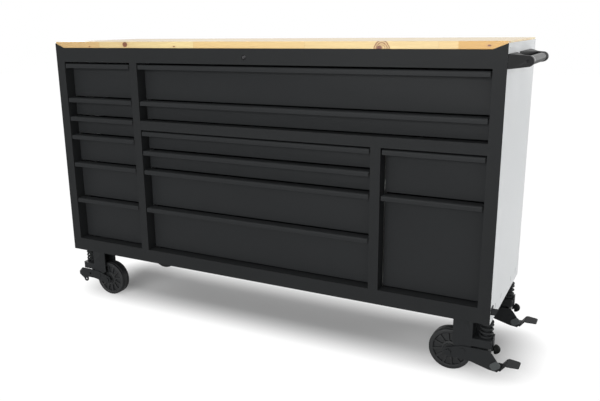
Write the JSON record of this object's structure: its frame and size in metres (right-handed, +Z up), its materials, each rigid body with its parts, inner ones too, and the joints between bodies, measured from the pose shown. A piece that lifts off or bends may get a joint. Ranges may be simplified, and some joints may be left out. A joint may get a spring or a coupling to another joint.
{
  "type": "tool cart",
  "caption": "Long steel tool cart: stacks of pull-out drawers under a wooden worktop, a side push handle and sprung swivel casters, some of them braked.",
  "frame": {"origin": "on the floor, at the middle of the footprint's bounding box", "axes": "+X along the length, towards the push handle's side; +Y from the drawers to the back; +Z up"},
  "size_m": [1.951, 0.5274, 1.1243],
  "materials": {
    "black_paint": "satin black powder coat",
    "grey_paint": "satin light grey powder coat",
    "wood": "clear-lacquered light hardwood, joined from staves",
    "zinc": "zinc-plated steel, softly bright",
    "chrome": "dark plated",
    "brushed_steel": "grey satin tube",
    "wheel_rubber": "matte black moulded wheel",
    "black_plastic": "moulded black plastic"
  },
  "bodies": {
    "cabinet": {"front_frame": "black_paint", "mid_rail": "black_paint", "left_side_panel": "grey_paint", "right_side_panel": "grey_paint", "back_panel": "black_paint", "bottom_pan": "black_paint", "top_deck": "black_paint", "worktop": "wood", "left_partition": "black_paint", "right_partition": "black_paint", "rack_left_side": "zinc", "rack_left_partition_left": "zinc", "rack_left_partition_right": "zinc", "rack_right_partition_left": "zinc", "rack_right_partition_right": "zinc", "rack_right_side": "zinc", "lock_barrel": "chrome", "handle_front_arm": "black_paint", "handle_rear_arm": "black_paint", "handle_bar": "brushed_steel", "side_tab": "black_paint", "caster_front_left_top_plate": "zinc", "caster_rear_left_top_plate": "zinc", "caster_front_right_top_plate": "zinc", "caster_rear_right_top_plate": "zinc"},
    "drawer_left_1": {"drawer_left_1": "black_paint"},
    "drawer_left_2": {"drawer_left_2": "black_paint"},
    "drawer_left_3": {"drawer_left_3": "black_paint"},
    "drawer_left_4": {"drawer_left_4": "black_paint"},
    "drawer_left_5": {"drawer_left_5": "black_paint"},
    "drawer_left_6": {"drawer_left_6": "black_paint"},
    "drawer_wide_1": {"drawer_wide_1": "black_paint"},
    "drawer_wide_2": {"drawer_wide_2": "black_paint"},
    "drawer_middle_1": {"drawer_middle_1": "black_paint"},
    "drawer_middle_2": {"drawer_middle_2": "black_paint"},
    "drawer_middle_3": {"drawer_middle_3": "black_paint"},
    "drawer_middle_4": {"drawer_middle_4": "black_paint"},
    "drawer_right_1": {"drawer_right_1": "black_paint"},
    "drawer_right_2": {"drawer_right_2": "black_paint"},
    "lock_plug": {"lock_plug": "chrome"},
    "caster_front_left_fork": {"caster_front_left_yoke": "black_paint", "caster_front_left_spring": "black_paint"},
    "caster_front_left_arm": {"caster_front_left_swing_arm": "black_paint"},
    "caster_front_left_wheel": {"caster_front_left_wheel": "wheel_rubber"},
    "caster_rear_left_fork": {"caster_rear_left_yoke": "black_paint", "caster_rear_left_spring": "black_paint"},
    "caster_rear_left_arm": {"caster_rear_left_swing_arm": "black_paint"},
    "caster_rear_left_wheel": {"caster_rear_left_wheel": "wheel_rubber"},
    "caster_front_right_fork": {"caster_front_right_yoke": "black_paint", "caster_front_right_spring": "black_paint", "caster_front_right_knob": "black_plastic"},
    "caster_front_right_arm": {"caster_front_right_swing_arm": "black_paint"},
    "caster_front_right_wheel": {"caster_front_right_wheel": "wheel_rubber"},
    "caster_front_right_pedal": {"caster_front_right_brake_pedal": "black_paint"},
    "caster_rear_right_fork": {"caster_rear_right_yoke": "black_paint", "caster_rear_right_spring": "black_paint", "caster_rear_right_knob": "black_plastic"},
    "caster_rear_right_arm": {"caster_rear_right_swing_arm": "black_paint"},
    "caster_rear_right_wheel": {"caster_rear_right_wheel": "wheel_rubber"},
    "caster_rear_right_pedal": {"caster_rear_right_brake_pedal": "black_paint"}
  },
  "joints": [
    {"name": "drawer_left_1_slide", "type": "slide", "parent": "cabinet", "child": "drawer_left_1", "axis": [0, -1, 0], "range_m": [0, 0.4]},
    {"name": "drawer_left_2_slide", "type": "slide", "parent": "cabinet", "child": "drawer_left_2", "axis": [0, -1, 0], "range_m": [0, 0.4]},
    {"name": "drawer_left_3_slide", "type": "slide", "parent": "cabinet", "child": "drawer_left_3", "axis": [0, -1, 0], "range_m": [0, 0.4]},
    {"name": "drawer_left_4_slide", "type": "slide", "parent": "cabinet", "child": "drawer_left_4", "axis": [0, -1, 0], "range_m": [0, 0.4]},
    {"name": "drawer_left_5_slide", "type": "slide", "parent": "cabinet", "child": "drawer_left_5", "axis": [0, -1, 0], "range_m": [0, 0.4]},
    {"name": "drawer_left_6_slide", "type": "slide", "parent": "cabinet", "child": "drawer_left_6", "axis": [0, -1, 0], "range_m": [0, 0.4]},
    {"name": "drawer_wide_1_slide", "type": "slide", "parent": "cabinet", "child": "drawer_wide_1", "axis": [0, -1, 0], "range_m": [0, 0.4]},
    {"name": "drawer_wide_2_slide", "type": "slide", "parent": "cabinet", "child": "drawer_wide_2", "axis": [0, -1, 0], "range_m": [0, 0.4]},
    {"name": "drawer_middle_1_slide", "type": "slide", "parent": "cabinet", "child": "drawer_middle_1", "axis": [0, -1, 0], "range_m": [0, 0.4]},
    {"name": "drawer_middle_2_slide", "type": "slide", "parent": "cabinet", "child": "drawer_middle_2", "axis": [0, -1, 0], "range_m": [0, 0.4]},
    {"name": "drawer_middle_3_slide", "type": "slide", "parent": "cabinet", "child": "drawer_middle_3", "axis": [0, -1, 0], "range_m": [0, 0.4]},
    {"name": "drawer_middle_4_slide", "type": "slide", "parent": "cabinet", "child": "drawer_middle_4", "axis": [0, -1, 0], "range_m": [0, 0.4]},
    {"name": "drawer_right_1_slide", "type": "slide", "parent": "cabinet", "child": "drawer_right_1", "axis": [0, -1, 0], "range_m": [0, 0.4]},
    {"name": "drawer_right_2_slide", "type": "slide", "parent": "cabinet", "child": "drawer_right_2", "axis": [0, -1, 0], "range_m": [0, 0.4]},
    {"name": "lock_turn", "type": "hinge", "parent": "cabinet", "child": "lock_plug", "pos_m": [-0.02984, -0.26125, 1.069], "axis": [0, -1, 0], "range_deg": [0, 90]},
    {"name": "caster_front_left_swivel", "type": "hinge", "parent": "cabinet", "child": "caster_front_left_fork", "pos_m": [-0.8545, -0.18125, 0.218], "axis": [0, 0, 1], "continuous": true},
    {"name": "caster_front_left_suspension", "type": "hinge", "parent": "caster_front_left_fork", "child": "caster_front_left_arm", "pos_m": [-0.8565, -0.18125, 0.088], "axis": [0, -1, 0], "range_deg": [0, 4], "stiffness_Nm_per_rad": 150, "springref_deg": -11.46, "deforming": ["caster_front_left_spring"]},
    {"name": "caster_front_left_roll", "type": "hinge", "parent": "caster_front_left_arm", "child": "caster_front_left_wheel", "pos_m": [-0.8085, -0.18125, 0.07506], "axis": [0, -1, 0], "continuous": true},
    {"name": "caster_rear_left_swivel", "type": "hinge", "parent": "cabinet", "child": "caster_rear_left_fork", "pos_m": [-0.8545, 0.20975, 0.218], "axis": [0, 0, 1], "continuous": true},
    {"name": "caster_rear_left_suspension", "type": "hinge", "parent": "caster_rear_left_fork", "child": "caster_rear_left_arm", "pos_m": [-0.8565, 0.20975, 0.088], "axis": [0, -1, 0], "range_deg": [0, 4], "stiffness_Nm_per_rad": 150, "springref_deg": -11.46, "deforming": ["caster_rear_left_spring"]},
    {"name": "caster_rear_left_roll", "type": "hinge", "parent": "caster_rear_left_arm", "child": "caster_rear_left_wheel", "pos_m": [-0.8085, 0.20975, 0.07506], "axis": [0, -1, 0], "continuous": true},
    {"name": "caster_front_right_swivel", "type": "hinge", "parent": "cabinet", "child": "caster_front_right_fork", "pos_m": [0.7875, -0.18125, 0.218], "axis": [0, 0, 1], "continuous": true},
    {"name": "caster_front_right_suspension", "type": "hinge", "parent": "caster_front_right_fork", "child": "caster_front_right_arm", "pos_m": [0.7895, -0.18125, 0.088], "axis": [0, 1, 0], "range_deg": [0, 4], "stiffness_Nm_per_rad": 150, "springref_deg": -11.46, "deforming": ["caster_front_right_spring"]},
    {"name": "caster_front_right_roll", "type": "hinge", "parent": "caster_front_right_arm", "child": "caster_front_right_wheel", "pos_m": [0.7415, -0.18125, 0.07506], "axis": [0, 1, 0], "continuous": true},
    {"name": "caster_front_right_brake", "type": "hinge", "parent": "caster_front_right_arm", "child": "caster_front_right_pedal", "pos_m": [0.9015, -0.18125, 0.058], "axis": [0, 1, 0], "range_deg": [0, 20]},
    {"name": "caster_rear_right_swivel", "type": "hinge", "parent": "cabinet", "child": "caster_rear_right_fork", "pos_m": [0.7875, 0.20975, 0.218], "axis": [0, 0, 1], "continuous": true},
    {"name": "caster_rear_right_suspension", "type": "hinge", "parent": "caster_rear_right_fork", "child": "caster_rear_right_arm", "pos_m": [0.7895, 0.20975, 0.088], "axis": [0, 1, 0], "range_deg": [0, 4], "stiffness_Nm_per_rad": 150, "springref_deg": -11.46, "deforming": ["caster_rear_right_spring"]},
    {"name": "caster_rear_right_roll", "type": "hinge", "parent": "caster_rear_right_arm", "child": "caster_rear_right_wheel", "pos_m": [0.7415, 0.20975, 0.07506], "axis": [0, 1, 0], "continuous": true},
    {"name": "caster_rear_right_brake", "type": "hinge", "parent": "caster_rear_right_arm", "child": "caster_rear_right_pedal", "pos_m": [0.9015, 0.20975, 0.058], "axis": [0, 1, 0], "range_deg": [0, 20]}
  ]
}
